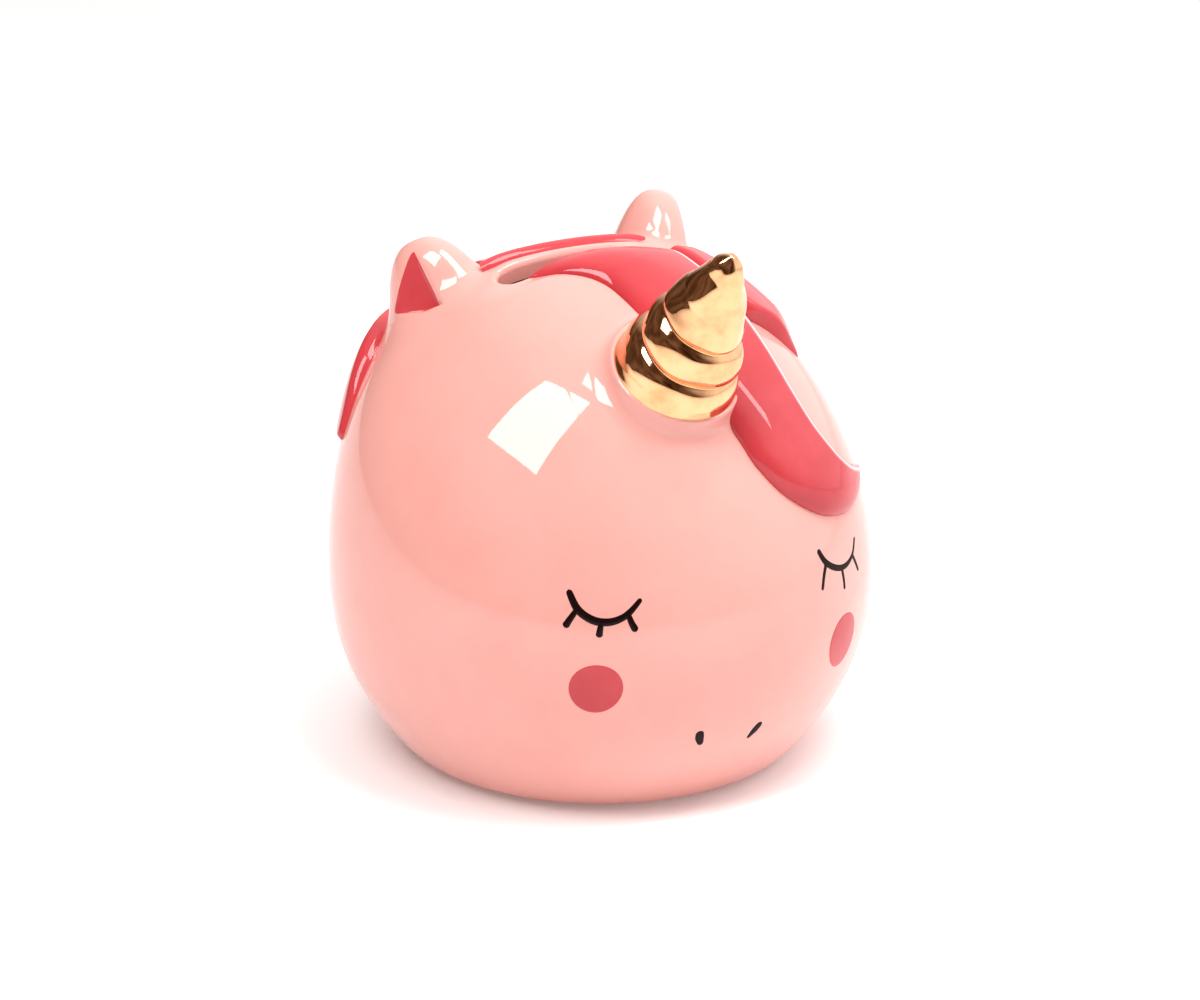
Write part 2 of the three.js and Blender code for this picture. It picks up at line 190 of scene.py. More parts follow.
SIDE_LOCK = (
    [(20.6, 5.6, 120), (23.5, -5, 117.5), (26, -13, 114), (30, -18, 109), (36, -18, 105.5),
     (42.5, -18.5, 101.5), (48.6, -18.6, 96.8)],
    [(28, 5.6, 117), (35, 3, 114), (38, 1, 112), (41, -2, 109), (44.5, -6.5, 105), (47.5, -12, 101),
     (49.2, -17.6, 96.6)],
)
MANE_OUTER = (
    [(24, 15.0, 119), (18, 26, 118), (21, 41, 110), (31, 45, 103), (40, 38, 101), (46, 33, 96),
     (51, 30.5, 90.5), (54.5, 28.5, 84.5), (56.8, 27.5, 79)],
    [(13.3, 15.0, 122), (10.3, 26, 119), (13.6, 42, 110), (22, 52, 102), (31, 53.5, 94), (40, 50, 86),
     (47, 45, 81), (52.5, 38, 77), (56.8, 29, 77)],
)
MANE_INNER = (
    [(13.3, 15.0, 122), (10.3, 26, 119), (13, 42, 110), (21.5, 53, 102), (30, 55, 93), (35, 55, 84),
     (36, 56, 76), (34, 58, 69)],
    [(4.9, 15.0, 123), (4.7, 26, 120), (6, 42, 112), (9, 55, 102), (12, 60.5, 93), (17, 62, 84),
     (25, 61.5, 75), (32, 60, 67.5)],
)
MANE_MIDDLE = (
    [(-4.9, 15.0, 123), (-4.7, 26, 120), (-5.4, 42, 112), (-8, 55, 102), (-10, 62, 92), (-7, 66, 84),
     (-1, 68, 77)],
    [(4.9, 15.0, 123), (4.7, 26, 120), (5.4, 42, 112), (8.4, 55, 102), (11, 61.5, 92), (9, 66, 83),
     (2, 68, 76)],
)

# The painted face: how far paint stands proud of the skin and reaches into it.
PAINT_LIFT = 0.1
PAINT_SUNK = 0.35
PAINT_RIM_SHARE = 0.08

# The stopper: a flanged hollow plug with a grip bar.
FLANGE_H = 1.9
PLUG_R = HOLE_R - 0.4
PLUG_WALL = 2.2
GRIP_REACH = 8.0
GRIP_HALF_WIDTH = 1.3
GRIP_H = 0.8


# ---------------------------------------------------------------- shape helpers

def smoothstep(low, high, value):
    """A soft step from 0 at low to 1 at high, whichever of the two is larger."""
    share = np.clip((value - low) / (high - low), 0, 1)
    return share * share * (3 - 2 * share)


def smooth_max(a, b, reach):
    """The larger of two fields, with the crease between them rounded over a reach."""
    share = np.clip(0.5 + (a - b) / (2 * reach), 0, 1)
    return b + (a - b) * share + reach * share * (1 - share)


def smooth_min(a, b, reach):
    """The smaller of two fields, with the crease between them rounded over a reach."""
    return -smooth_max(-a, -b, reach)


def unit(vectors):
    vectors = np.asarray(vectors, float)
    return vectors / np.linalg.norm(vectors, axis=-1, keepdims=True)


def lean_at(height):
    """How far the head's axis has leaned back at a height above the equator."""
    return CROWN_LEAN * np.maximum(height / CROWN_H, 0) ** LEAN_POWER


def slot_valley(x, y, z):
    """The height of the pressed-up lip behind the slot, less the dip in front of it."""
    rise = SLOT_RISE * np.exp(-((y - SLOT_RISE_Y) / SLOT_RISE_REACH) ** 2)
    dip = SLOT_DIP * np.exp(-((y - SLOT_DIP_Y) / SLOT_DIP_REACH) ** 2)
    return (rise - dip) * smoothstep(*SLOT_VALLEY_END, np.abs(x)) * smoothstep(EQUATOR_Z, CROWN_H, z)


def head_field(points):
    """How far points are outside the plain head, negative inside."""
    x, y, z = points[..., 0], points[..., 1], points[..., 2]
    height = z - EQUATOR_Z
    reach = np.sqrt(x * x + (y - lean_at(height)) ** 2 + height * height) + 1e-9
    rise = height / reach
    semi_axis = BELLY_H + (CROWN_H - BELLY_H) * smoothstep(-AXIS_BLEND, AXIS_BLEND, rise)
    run = np.sqrt(np.maximum(1 - rise * rise, 0))
    ball = reach - 1 / np.hypot(run / GIRTH_R, rise / semi_axis)
    nape = (z - NAPE_Z + NAPE_SLOPE * y) / math.hypot(1, NAPE_SLOPE)
    crown = smooth_max(ball, nape, NAPE_ROUND) - slot_valley(x, y, z)
    return smooth_max(crown, -z, FOOT_ROUND)


def chamber_field(points):
    """How far points are outside the hollow chamber."""
    return smooth_max(head_field(points) + WALL, CHAMBER_FLOOR_Z - points[..., 2], CHAMBER_ROUND)


def cast(field, origins, directions, near, far):
    """The points where field turns from negative to positive along rays from near to far."""
    low = np.full(directions.shape[:-1], float(near))
    high = np.full(directions.shape[:-1], float(far))
    for _ in range(34):
        middle = (low + high) / 2
        outside = field(origins + directions * middle[..., None]) > 0
        high = np.where(outside, middle, high)
        low = np.where(outside, low, middle)
    return origins + directions * ((low + high) / 2)[..., None]


def gradient(field, points):
    """Outward normals of a field's surface."""
    step = 0.05
    axes = np.eye(3) * step
    return unit(np.stack([field(points + axis) - field(points - axis) for axis in axes], -1))


def smooth_curve(knots, samples):
    """A Catmull-Rom curve through knots, at parameters from 0 to 1."""
    knots = np.asarray(knots, float)
    padded = np.vstack([2 * knots[0] - knots[1], knots, 2 * knots[-1] - knots[-2]])
    place = np.clip(samples, 0, 1) * (len(knots) - 1)
    index = np.minimum(place.astype(int), len(knots) - 2)
    t = (place - index)[:, None]
    p0, p1, p2, p3 = (padded[index + shift] for shift in range(4))
    return 0.5 * (2 * p1 + (p2 - p0) * t + (2 * p0 - 5 * p1 + 4 * p2 - p3) * t ** 2
                  + (3 * p1 - p0 - 3 * p2 + p3) * t ** 3)


def count(number):
    """A step count at full detail, or fewer while trying things out."""
    return max(4, int(round(number * DETAIL / 2)) * 2)


def crowded(number, share=1.0):
    """Steps from 0 to 1 that crowd towards both ends, more so for a larger share."""
    eased = (1 - np.cos(np.linspace(0, math.pi, number))) / 2
    return eased * share + np.linspace(0, 1, number) * (1 - share)


def circle(number):
    """The angles of evenly spaced steps once round."""
    return 2 * math.pi * np.arange(count(number)) / count(number)


# ---------------------------------------------------------------- mesh helpers

def loft(rings, wrap=False):
    """Vertices and faces of a surface through rings of points, closed end to end or capped."""
    rings = np.asarray(rings, float)
    rows, columns = rings.shape[:2]
    vertices = rings.reshape(-1, 3)
    row = np.arange(rows if wrap else rows - 1)[:, None]
    column = np.arange(columns)[None, :]
    after = (column + 1) % columns
    below = (row + 1) % rows
    quads = np.stack([row * columns + column, row * columns + after, below * columns + after,
                      below * columns + column], -1).reshape(-1, 4)
    faces = [tuple(quad) for quad in quads.tolist()]
    if not wrap:
        first_centre = len(vertices)
        vertices = np.vstack([vertices, rings[0].mean(0), rings[-1].mean(0)])
        last = (rows - 1) * columns
        for step in range(columns):
            following = (step + 1) % columns
            faces.append((following, step, first_centre))
            faces.append((last + step, last + following, first_centre + 1))
    return vertices, faces


def slab(top, bed):
    """A closed body between an upper and a lower grid of points of the same shape."""
    return loft(np.concatenate([top, bed[:, ::-1]], axis=1))


def add_mesh(name, bodies, material, node, body="bank", sharp=math.radians(38), thin=None):
    """One object from closed bodies of (vertices, faces), standing for a CAD node if one is named."""
    vertices, faces = [], []
    for points, polygons in bodies:
        faces += [tuple(index + len(vertices) for index in polygon) for polygon in polygons]
        vertices += (np.asarray(points) * MM).tolist()
    mesh = bpy.data.meshes.new(name)
    mesh.from_pydata(vertices, [], faces)
    # The per-point value is how strongly the pale crest line is painted: a painted highlight, which also
    # stands for thin glaze.
    if thin is not None:
        layer = mesh.attributes.new("crest_highlight_and_thin_glaze", "FLOAT", "POINT")
        layer.data.foreach_set("value", np.resize(np.append(thin, [0, 0]), len(vertices)))
    cleaned = bmesh.new()
    cleaned.from_mesh(mesh)
    bmesh.ops.remove_doubles(cleaned, verts=cleaned.verts, dist=1e-7)
    bmesh.ops.recalc_face_normals(cleaned, faces=cleaned.faces)
    cleaned.to_mesh(mesh)
    cleaned.free()
    mesh.polygons.foreach_set("use_smooth", [True] * len(mesh.polygons))
    mesh.set_sharp_from_angle(angle=sharp)
    mesh.materials.append(material)
    piece = bpy.data.objects.new(name, mesh)
    bpy.context.scene.collection.objects.link(piece)
    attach(piece, body)
    if node:
        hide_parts(node)
    return piece


# ---------------------------------------------------------------- materials

def new_material(name):
    material = bpy.data.materials.new(name)
    material.use_nodes = True
    tree = material.node_tree
    return material, tree, tree.nodes["Principled BSDF"]


def add_node(tree, kind, **settings):
    """A shader node with some of its inputs or properties set."""
    node = tree.nodes.new(kind)
    for key, value in settings.items():
        if key in node.inputs:
            node.inputs[key].default_value = value
        else:
            setattr(node, key, value)
    return node


def noise_at(tree, place, scale, detail=3.0, roughness=0.5):
    node = add_node(tree, "ShaderNodeTexNoise", Scale=scale, Detail=detail, Roughness=roughness)
    tree.links.new(place.outputs["Object"], node.inputs["Vector"])
    return node


def ramp(tree, source, stops):
    node = tree.nodes.new("ShaderNodeValToRGB")
    while len(node.color_ramp.elements) < len(stops):
        node.color_ramp.elements.new(0.5)
    for element, (position, colour) in zip(node.color_ramp.elements, stops):
        element.position = position
        element.color = (*colour, 1)
    tree.links.new(source, node.inputs["Fac"])
    return node


def wavy_bump(tree, place, layers):
    """Bump nodes in a chain, each (scale, strength, distance in mm) of noise on the last."""
    normal = None
    for scale, strength, distance in layers:
        bump = add_node(tree, "ShaderNodeBump", Strength=strength, Distance=distance * MM)
        tree.links.new(noise_at(tree, place, scale, detail=2.0).outputs["Fac"], bump.inputs["Height"])
        if normal:
            tree.links.new(normal, bump.inputs["Normal"])
        normal = bump.outputs["Normal"]
    return normal


def glaze(name, pale, full, deep, coat=1.0, broken=None):
    """Coloured slip under a clear glaze: cloudy colour, a hard coat and a slightly wavy surface.

    The optional last colour is mixed in where a point's stored crest value is high: a pale line that is a
    painted highlight, and which also stands for glaze running thin over an edge.
    """
    material, tree, shader = new_material(name)
    place = add_node(tree, "ShaderNodeTexCoord")
    clouds = ramp(tree, noise_at(tree, place, 38.0, detail=4.0, roughness=0.6).outputs["Fac"],
                  [(0.25, pale), (0.5, full), (0.8, deep)])
    colour = clouds.outputs["Color"]
    # Painted highlight: the pale crest colour, mixed in by a value stored on the points, also standing for
    # thin glaze.
    if broken:
        thin = add_node(tree, "ShaderNodeAttribute", attribute_name="crest_highlight_and_thin_glaze")
        mix = add_node(tree, "ShaderNodeMix", data_type="RGBA")
        tree.links.new(thin.outputs["Fac"], mix.inputs["Factor"])
        tree.links.new(colour, mix.inputs["A"])
        mix.inputs["B"].default_value = (*broken, 1)
        colour = mix.outputs["Result"]
    tree.links.new(colour, shader.inputs["Base Color"])
    tree.links.new(wavy_bump(tree, place, [(45.0, 0.35, 0.12), (160.0, 0.15, 0.04)]),
                   shader.inputs["Normal"])
    tree.links.new(shader.inputs["Normal"].links[0].from_socket, shader.inputs["Coat Normal"])
    shader.inputs["Roughness"].default_value = 0.45
    shader.inputs["Specular IOR Level"].default_value = 0.0
    shader.inputs["Coat Weight"].default_value = coat
    shader.inputs["Coat Roughness"].default_value = 0.03
    shader.inputs["Coat IOR"].default_value = 1.52
    return material


def gold_lustre():
    """Mirror-bright fired gold with brushed thin spots."""
    material, tree, shader = new_material("gold_lustre")
    place = add_node(tree, "ShaderNodeTexCoord")
    tone = ramp(tree, noise_at(tree, place, 120.0, detail=4.0, roughness=0.6).outputs["Fac"],
                [(0.3, (0.97, 0.57, 0.31)), (0.5, (0.95, 0.52, 0.27)), (0.75, (0.72, 0.34, 0.15))])
    tree.links.new(tone.outputs["Color"], shader.inputs["Base Color"])
    tree.links.new(wavy_bump(tree, place, [(90.0, 0.4, 0.1), (420.0, 0.2, 0.03)]), shader.inputs["Normal"])
    shader.inputs["Metallic"].default_value = 1.0
    shader.inputs["Roughness"].default_value = 0.07
    return material


def rubber():
    """Matt moulded rubber with a fine grain."""
    material, tree, shader = new_material("soft_rubber")
    place = add_node(tree, "ShaderNodeTexCoord")
    tone = ramp(tree, noise_at(tree, place, 220.0).outputs["Fac"],
                [(0.3, (0.74, 0.71, 0.66)), (0.7, (0.82, 0.79, 0.74))])
    tree.links.new(tone.outputs["Color"], shader.inputs["Base Color"])
    tree.links.new(wavy_bump(tree, place, [(900.0, 0.3, 0.05)]), shader.inputs["Normal"])
    shader.inputs["Roughness"].default_value = 0.55
    return material


SKIN = glaze("skin_glaze", (0.90, 0.42, 0.37), (0.88, 0.40, 0.35), (0.85, 0.37, 0.32))
# The hair glaze's last, pale colour is a painted highlight along lock crests, which also stands for thin
# glaze.
HAIR = glaze("hair_glaze", (0.66, 0.075, 0.088), (0.60, 0.052, 0.063), (0.51, 0.038, 0.048),
             coat=0.75, broken=(0.95, 0.78, 0.78))
INK = glaze("ink_enamel", (0.020, 0.006, 0.006), (0.012, 0.004, 0.004), (0.008, 0.003, 0.003),
            coat=0.25)
GOLD = gold_lustre()
RUBBER = rubber()


# ---------------------------------------------------------------- horn and ear geometry

HORN_LENGTH = float(np.linalg.norm(HORN_TIP - HORN_BASE))
HORN_AXIS = unit(HORN_TIP - HORN_BASE)
HORN_SIDE = unit(np.array([1.0, 0.0, 0.0]) - HORN_AXIS * HORN_AXIS[0])
HORN_FRONT = np.cross(HORN_AXIS, HORN_SIDE)


def collar_field(points):
    """The low ring of skin that the horn stands in."""
    offset = points - HORN_BASE
    height = offset @ HORN_AXIS
    radius = np.linalg.norm(offset - height[..., None] * HORN_AXIS, axis=-1)
    ring = smooth_max(radius - COLLAR_R, height - COLLAR_H, COLLAR_EDGE)
    return smooth_min(head_field(points), ring, COLLAR_FILLET)


def ear_frame(side, tip, root):
    """The ear's tip, and unit vectors along it, out of its hollow and across it."""
    along = unit(np.subtract(tip, root))
    facing = np.array([side * math.sin(EAR_FACING), -math.cos(EAR_FACING), 0.0])
    facing = unit(facing - along * (facing @ along))
    return np.array(tip, float), along, facing, np.cross(along, facing)


def hollow_frame(side, tip, root):
    """The middle of the hollow's floor, and unit vectors up it, out of it and across it."""
    tip, along, facing, across = ear_frame(side, tip, root)
    facing = facing * math.cos(HOLLOW_TURN) - side * across * math.sin(HOLLOW_TURN)
    across = np.cross(along, facing)
    outward = facing * math.cos(HOLLOW_TILT) + along * math.sin(HOLLOW_TILT)
    upward = along * math.cos(HOLLOW_TILT) - facing * math.sin(HOLLOW_TILT)
    rolled = across * math.cos(HOLLOW_ROLL) + side * upward * math.sin(HOLLOW_ROLL)
    floor = EAR_THICKNESS * HOLLOW_MIDDLE ** EAR_POWER - HOLLOW_DEPTH
    return tip - along * HOLLOW_MIDDLE + facing * floor, np.cross(outward, rolled), outward, rolled


def triangle_distance(across, up, grow, flare=0.0):
    """Distance outside the hollow's three-cornered outline, its sides flared and all grown by a margin."""
    slope = unit(np.array([HOLLOW_LENGTH, HOLLOW_WIDTH / 2]))
    sides = np.hypot(across, HOLLOW_PEAK_ROUND) * slope[0] + (up - HOLLOW_LENGTH / 2) * slope[1] - flare
    return smooth_max(sides, -up - HOLLOW_LENGTH / 2, HOLLOW_FOOT_ROUND) - grow


def ear_share(points, ear):
    """How far out points lie in the fan of rays that draws an ear, from 0 at its axis to 1 at its rim."""
    deepest, widest = EAR_FAN[-1]
    tip, along, facing, across = ear_frame(*ear)
    offset = points - (tip - deepest * along)
    reach = np.maximum(offset @ along, 1) * math.tan(math.radians(widest))
    return np.hypot(offset @ across / EAR_SPREAD[0], offset @ facing / EAR_SPREAD[1]) / reach


def ear_field(points, ear):
    """The head with one ear drawn out of it."""
    tip, along, facing, across = ear_frame(*ear)
    offset = points - tip
    depth = -(offset @ along)
    inside = np.maximum(depth, 0.01)
    u, v = offset @ across, offset @ facing
    girth = np.hypot(u / (EAR_WIDTH * inside ** EAR_POWER), v / (EAR_THICKNESS * inside ** EAR_POWER))
    cone = (1 - 1 / np.maximum(girth, 1e-3)) * np.hypot(u, v) * EAR_STEEPNESS
    cone = np.where(depth > 0, cone, np.sqrt(u * u + v * v + depth * depth))
    return smooth_min(head_field(points), cone, EAR_FILLET)


def slot_distance(points):
    """How far points are outside the upright walls of the coin slot."""
    beyond = np.maximum(np.abs(points[..., 0]) - (SLOT_LENGTH - SLOT_WIDTH) / 2, 0)
    return np.hypot(beyond, points[..., 1] - SLOT_Y) - SLOT_WIDTH / 2


def carved_ear_field(points, ear):
    """The same with the hollow pressed into it, tucked under the shell at its rim and round the slot."""
    middle, upward, outward, sideways = hollow_frame(*ear)
    place = points - middle
    above = place @ outward
    flare = HOLLOW_FLARE * np.clip(above, 0, HOLLOW_FLARE_H)
    wall = triangle_distance(place @ sideways, place @ upward, HOLLOW_MARGIN, flare)
    pit = smooth_max(HOLLOW_STEEPNESS * wall, -above, HOLLOW_EDGE)
    carved = smooth_max(ear_field(points, ear), -pit, HOLLOW_EDGE)
    from_slot = slot_distance(points)
    at_rim = EAR_RIM_TUCK * smoothstep(*EAR_TUCKED, ear_share(points, ear))
    by_slot = SLOT_TUCK * smoothstep(*TUCKED_BY_SLOT, from_slot)
    return np.maximum(carved + at_rim + by_slot, SLOT_CLEARANCE - from_slot)


def shell_field(points):
    """The head rising towards the ears, dropped a little where the ears and the collar cover it."""
    upper = points[..., 2] > CROWN_FROM_Z
    offset = points - HORN_BASE
    share = np.hypot(offset @ HORN_SIDE, offset @ HORN_FRONT) / COLLAR_RIM
    drop = np.where(upper & (points[..., 1] < 0), smoothstep(*COLLAR_DROPPED, share), 0)
    head = skin = head_field(points)
    beside_slot = smoothstep(*SHOWN_BY_SLOT, slot_distance(points))
    for ear in EARS.values():
        share = ear_share(points, ear)
        shown = np.maximum(smoothstep(*EAR_SHOWN, share), beside_slot)
        skin = skin + np.where(upper, (ear_field(points, ear) - head) * shown, 0)
        drop = drop + np.where(upper, smoothstep(*EAR_DROPPED, share) * (1 - beside_slot), 0)
    return skin + COVER_DROP * drop


# ---------------------------------------------------------------- body shell

def slot_outline(share, margin):
    """A point of the slot's stadium outline, grown by a margin, at a share of its length from +X."""
    reach = (SLOT_LENGTH - SLOT_WIDTH) / 2
    radius = SLOT_WIDTH / 2
    arc = math.pi * radius
    length = 4 * reach + 2 * arc
    run = (share * length + arc / 2) % length
    corners = np.array([0, arc, arc + 2 * reach, 2 * arc + 2 * reach])
    leg = np.searchsorted(corners, run, side="right") - 1
    within = run - corners[leg]
    angle = np.where(leg % 2 == 0, within / radius - math.pi / 2 + math.pi * (leg // 2),
                     math.pi / 2 + math.pi * (leg // 2))
    x = np.select([leg == 0, leg == 1, leg == 2], [reach, reach - within, -reach], within - reach)
    grown = radius + margin
    return np.stack([x + grown * np.cos(angle), SLOT_Y + grown * np.sin(angle)], -1)


def crown_over(field, places):
    """The points of a surface of the crown straight above places (x, y)."""
    origins = np.concatenate([places, np.full(places.shape[:-1] + (1,), INSIDE_CROWN_Z)], -1)
    up = np.broadcast_to(np.array([0.0, 0.0, 1.0]), origins.shape)
    return cast(field, origins, up, 0, 60)


def body_shell():
    """The whole shell as one ring of rows: skin, foot, recess, stopper hole, chamber and slot."""
    columns = count(420)
    share = np.arange(columns) / columns
    angle = 2 * math.pi * share
    rounds = np.stack([np.cos(angle), np.sin(angle)], -1)

    def ring_towards(elevation):
        flat = math.cos(elevation) * rounds
        return np.concatenate([flat, np.full((columns, 1), math.sin(elevation))], -1)

    def ring_at(radius, z):
        return np.concatenate([radius * rounds, np.full((columns, 1), z)], -1)

    def crown_rows(field, margin, rows):
        inner = unit(crown_over(field, slot_outline(share, margin)) - CENTRE)
        outer = ring_towards(SHOULDER)
        parts = np.linspace(0, 1, rows)[:, None, None] ** CROWN_ROWS_POWER
        return cast(field, CENTRE, unit(inner + (outer - inner) * parts), SKIN_NEAR, SKIN_FAR)

    rows = []
    lip_turns = np.linspace(0, math.pi / 2, count(12) + 1)
    for turn in lip_turns[:-1]:
        top = crown_over(shell_field, slot_outline(share, SLOT_LIP * (1 - math.cos(turn))))
        top[:, 2] -= SLOT_LIP * (1 - math.sin(turn))
        rows.append(top)
    rows += list(crown_rows(shell_field, SLOT_LIP, count(90)))
    foot = -math.atan2(EQUATOR_Z, RECESS_R + FOOT_LAND)
    for elevation in np.linspace(SHOULDER, foot, count(150))[1:]:
        rows.append(cast(shell_field, CENTRE, ring_towards(elevation), SKIN_NEAR, SKIN_FAR))
    edge = UNDERSIDE_EDGE
    corners = [(RECESS_R + edge, 0), (RECESS_R + 0.3 * edge, 0.3 * edge), (RECESS_R, edge),
               (RECESS_R, RECESS_H - edge), (RECESS_R - 0.3 * edge, RECESS_H - 0.3 * edge),
               (RECESS_R - edge, RECESS_H), (RECESS_MIDDLE_R, RECESS_H), (HOLE_R + edge, RECESS_H),
               (HOLE_R + 0.3 * edge, RECESS_H + 0.3 * edge), (HOLE_R, RECESS_H + edge),
               (HOLE_R, CHAMBER_FLOOR_Z - edge), (HOLE_R + edge, CHAMBER_FLOOR_Z),
               (FLOOR_MIDDLE_R, CHAMBER_FLOOR_Z)]
    rows += [ring_at(radius, z) for radius, z in corners]
    floor = -math.atan2(EQUATOR_Z - CHAMBER_FLOOR_Z, CHAMBER_FLOOR_R)
    for elevation in np.linspace(floor, SHOULDER, count(60)):
        rows.append(cast(chamber_field, CENTRE, ring_towards(elevation), 10, SKIN_FAR))
    rows += list(crown_rows(chamber_field, 0.0, count(30)))[::-1][1:]
    return loft(rows, wrap=True)


def horn_collar():
    """The ring of skin round the horn and its fillet, as a patch laid over the shell."""
    # The rings crowd where the collar's edge and fillet are.
    parts = np.concatenate([np.linspace(0.5, 0.59, count(8)), np.linspace(0.6, 0.82, count(44)),
                            np.linspace(0.83, 1, count(16))])
    angle = circle(240)
    spread = COLLAR_RIM * (np.cos(angle)[:, None] * HORN_SIDE + np.sin(angle)[:, None] * HORN_FRONT)
    origins = HORN_BASE - COLLAR_DEPTH * HORN_AXIS + parts[:, None, None] * spread
    directions = np.broadcast_to(HORN_AXIS, origins.shape)
    top = cast(collar_field, origins, directions, 0, COLLAR_DEPTH + 10)
    bed = cast(lambda points: head_field(points) + PATCH_DEPTH, origins, directions, 0, COLLAR_DEPTH + 10)
    return loft(np.concatenate([top, bed[::-1]]), wrap=True)


def ear_body(ear):
    """A closed skin of the ear and its fillet, cast from its axis by rays that fan from tip to rim."""
    tip, along, facing, across = ear_frame(*ear)
    fan = smooth_curve(EAR_FAN, np.linspace(0, 1, count(190)))
    depth, lean = fan[:, 0, None, None], np.radians(fan[:, 1, None, None])
    angle = circle(200)
    spread = (EAR_SPREAD[0] * np.cos(angle)[:, None] * across
              + EAR_SPREAD[1] * np.sin(angle)[:, None] * facing)
    directions = unit(np.cos(lean) * along + np.sin(lean) * spread)
    origins = np.broadcast_to(tip - depth * along, directions.shape)
    top = cast(lambda points: carved_ear_field(points, ear), origins, directions, 0, 50)
    return loft(np.concatenate([top, top[-1:] - PATCH_DEPTH * along]))


def rim_parts(rows):
    """Shares of a painted patch's reach, closer together in the last rows at its rim."""
    return np.concatenate([np.linspace(0.01, 0.9, count(24)), np.linspace(0.92, 1, count(rows))])


def paint_patch(surface, outward, parts):
    """A closed patch of paint on rings of a surface, rounded off at its rim, where parts reach 1."""
    thin = np.sqrt(np.clip((1 - parts) / PAINT_RIM_SHARE, 0, 1))[:, None, None]
    return loft(np.concatenate([surface + outward * PAINT_LIFT * thin,
                                (surface - outward * PAINT_SUNK)[::-1]]))


def ear_lining(ear):
    """The three-cornered patch of rose glaze on the floor of the hollow."""
    middle, upward, outward, across = hollow_frame(*ear)
    angle = circle(120)
    rays = np.stack([np.cos(angle), np.sin(angle)], -1)
    edge = cast(lambda p: triangle_distance(p[..., 0], p[..., 1], LINING_MARGIN),
                np.zeros(2), rays, 0, 15)
    parts = rim_parts(6)
    flat = parts[:, None, None] * edge
    origins = middle + flat[..., :1] * across + flat[..., 1:] * upward - 3 * outward
    directions = np.broadcast_to(outward, origins.shape)
    floor = cast(lambda points: carved_ear_field(points, ear), origins, directions, 0, 9)
    return paint_patch(floor, outward, parts)


# ---------------------------------------------------------------- horn

def horn():
    """The swelling cone with a groove that winds up it, fading near the foot and the tip."""
    heights = HORN_LENGTH * np.concatenate([np.linspace(-0.06, 0.9, count(320)),
                                            1 - 0.1 * (1 - np.linspace(0, 0.998, count(50))) ** 2])
    angle = circle(260)
    height = heights[:, None]
    cone = HORN_R * (1 - (np.maximum(height, 0) / (HORN_LENGTH + HORN_OVERSHOOT)) ** HORN_SWELL)
    past = np.maximum(height - HORN_LENGTH + HORN_TIP_R, 0) / HORN_TIP_R
    cap = np.sqrt(np.maximum(1 - past * past, 0))
    rise = height - TWIST_START
    turns = rise / TWIST_PITCH + np.maximum(rise, 0) ** 2 / TWIST_TIGHTENING
    turns = turns + TWIST_PHASE + angle / (2 * math.pi)
    away = TWIST_PITCH * np.abs((turns + 0.5) % 1.0 - 0.5)
    groove = np.exp(-(np.hypot(away, GROOVE_ROUND) - GROOVE_ROUND) / GROOVE_WIDTH)
    depth = TWIST_DEPTH * smoothstep(*TWIST_FADE_IN, height)
    depth = depth * (1 - TWIST_LOST * smoothstep(*TWIST_FADE_OUT, height))
    dents = sum(size * np.sin(waves * angle + twist * height + start)
                for size, waves, twist, start in HORN_DENTS)
    dents = dents * smoothstep(*DENTS_FADE_IN, height)
    radius = cap * (cone + HORN_FULLNESS - depth * groove + dents)
    rings = (HORN_BASE + height[..., None] * HORN_AXIS
             + (radius * np.cos(angle))[..., None] * HORN_SIDE
             + (radius * np.sin(angle))[..., None] * HORN_FRONT)
    return loft(rings)


# ---------------------------------------------------------------- hair

def bevel(distance, width):
    """A quarter-round rise from 0 at an edge to 1 a width away from it."""
    return np.sqrt(1 - (1 - np.clip(distance / width, 0, 1)) ** 2)


